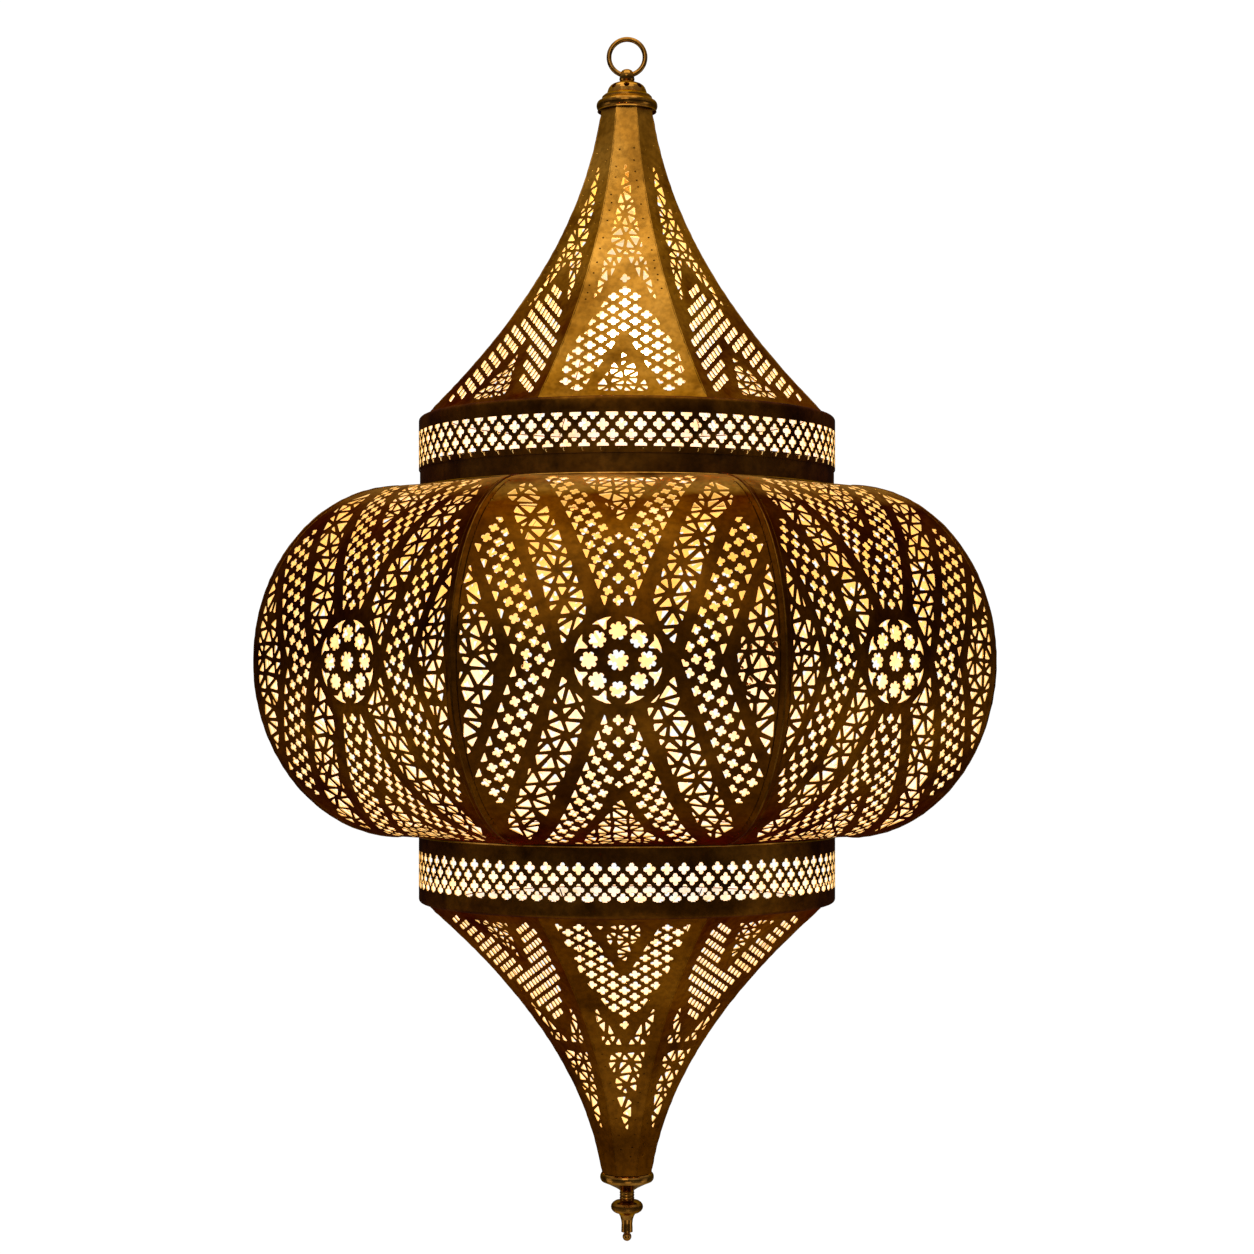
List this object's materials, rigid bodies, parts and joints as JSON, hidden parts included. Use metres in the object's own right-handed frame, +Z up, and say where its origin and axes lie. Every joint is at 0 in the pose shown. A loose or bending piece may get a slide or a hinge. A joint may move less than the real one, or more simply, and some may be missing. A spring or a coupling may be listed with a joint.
{
  "type": "hanging lantern",
  "caption": "Pierced antique-brass hanging lantern with an eight-sided spire, bulb and cone, round collars, a ring, a finial and a hinged lamp door.",
  "frame": {"origin": "where a hook bears on the inside of the hanging ring, at its top", "axes": "+Z up, -Y towards the front panel, +Y towards the lamp door"},
  "size_m": [0.5244, 0.5356, 0.9029],
  "materials": {
    "spire_brass": "antique, hand-pierced sheet",
    "bulb_brass": "antique, hand-pierced sheet",
    "cone_brass": "antique, hand-pierced sheet",
    "collar_brass": "antique, hand-pierced strip",
    "dark_brass": "dark patina",
    "turned_brass": "turned, rubbed bright on the edges",
    "plated_steel": "zinc plated",
    "bush_plastic": "moulded",
    "holder_plastic": "moulded phenolic",
    "terminal_plastic": "moulded",
    "lead_cover": "braided cotton sleeve",
    "earth_green": "green earth screw",
    "lamp_glass": "warm white lamp globe",
    "filament": "coated light rods"
  },
  "bodies": {
    "hanger": {"hanging_ring": "turned_brass"},
    "lantern": {"spire_panel_1": "spire_brass", "spire_panel_2": "spire_brass", "spire_panel_3": "spire_brass", "spire_panel_4": "spire_brass", "spire_panel_5": "spire_brass", "spire_panel_6": "spire_brass", "spire_panel_7": "spire_brass", "spire_panel_8": "spire_brass", "bulb_panel_1": "bulb_brass", "bulb_panel_2": "bulb_brass", "bulb_panel_3": "bulb_brass", "bulb_panel_4": "bulb_brass", "bulb_panel_5": "bulb_brass", "bulb_panel_6": "bulb_brass", "bulb_panel_7": "bulb_brass", "door_head": "bulb_brass", "door_sill": "bulb_brass", "cone_panel_1": "cone_brass", "cone_panel_2": "cone_brass", "cone_panel_3": "cone_brass", "cone_panel_4": "cone_brass", "cone_panel_5": "cone_brass", "cone_panel_6": "cone_brass", "cone_panel_7": "cone_brass", "cone_panel_8": "cone_brass", "upper_collar": "collar_brass", "lower_collar": "collar_brass", "upper_neck_band": "dark_brass", "door_stop": "dark_brass", "frame_hinge_leaf": "dark_brass", "neck_plate": "dark_brass", "bottom_plate": "dark_brass", "holder_cap": "dark_brass", "ring_knob": "turned_brass", "top_cap": "turned_brass", "upper_bead_ring": "turned_brass", "lower_bead_ring": "turned_brass", "bottom_cup": "turned_brass", "finial": "turned_brass", "hinge_pin": "turned_brass", "frame_leaf_rivets": "turned_brass", "stem_tube": "turned_brass", "stud_nuts": "plated_steel", "lamp_yoke": "plated_steel", "stem_nuts": "plated_steel", "lamp_screw_cap": "plated_steel", "finial_nut": "plated_steel", "cable_bush": "bush_plastic", "holder_body": "holder_plastic", "terminal_block": "terminal_plastic", "lamp_lead": "lead_cover", "earth_screw": "earth_green", "lamp_glass": "lamp_glass", "lamp_filaments": "filament"},
    "door": {"door_panel": "bulb_brass", "door_pull": "turned_brass", "door_hinge_leaf": "dark_brass", "door_leaf_rivets": "turned_brass"}
  },
  "joints": [
    {"name": "lantern_swing", "type": "hinge", "parent": "hanger", "child": "lantern", "pos_m": [0, 0, -0.02513], "axis": [1, 0, 0], "range_deg": [-70, 70]},
    {"name": "door_swing", "type": "hinge", "parent": "lantern", "child": "door", "pos_m": [0.11075, 0.26737, -0.4653], "axis": [0, 0, -1], "range_deg": [0, 110]}
  ]
}
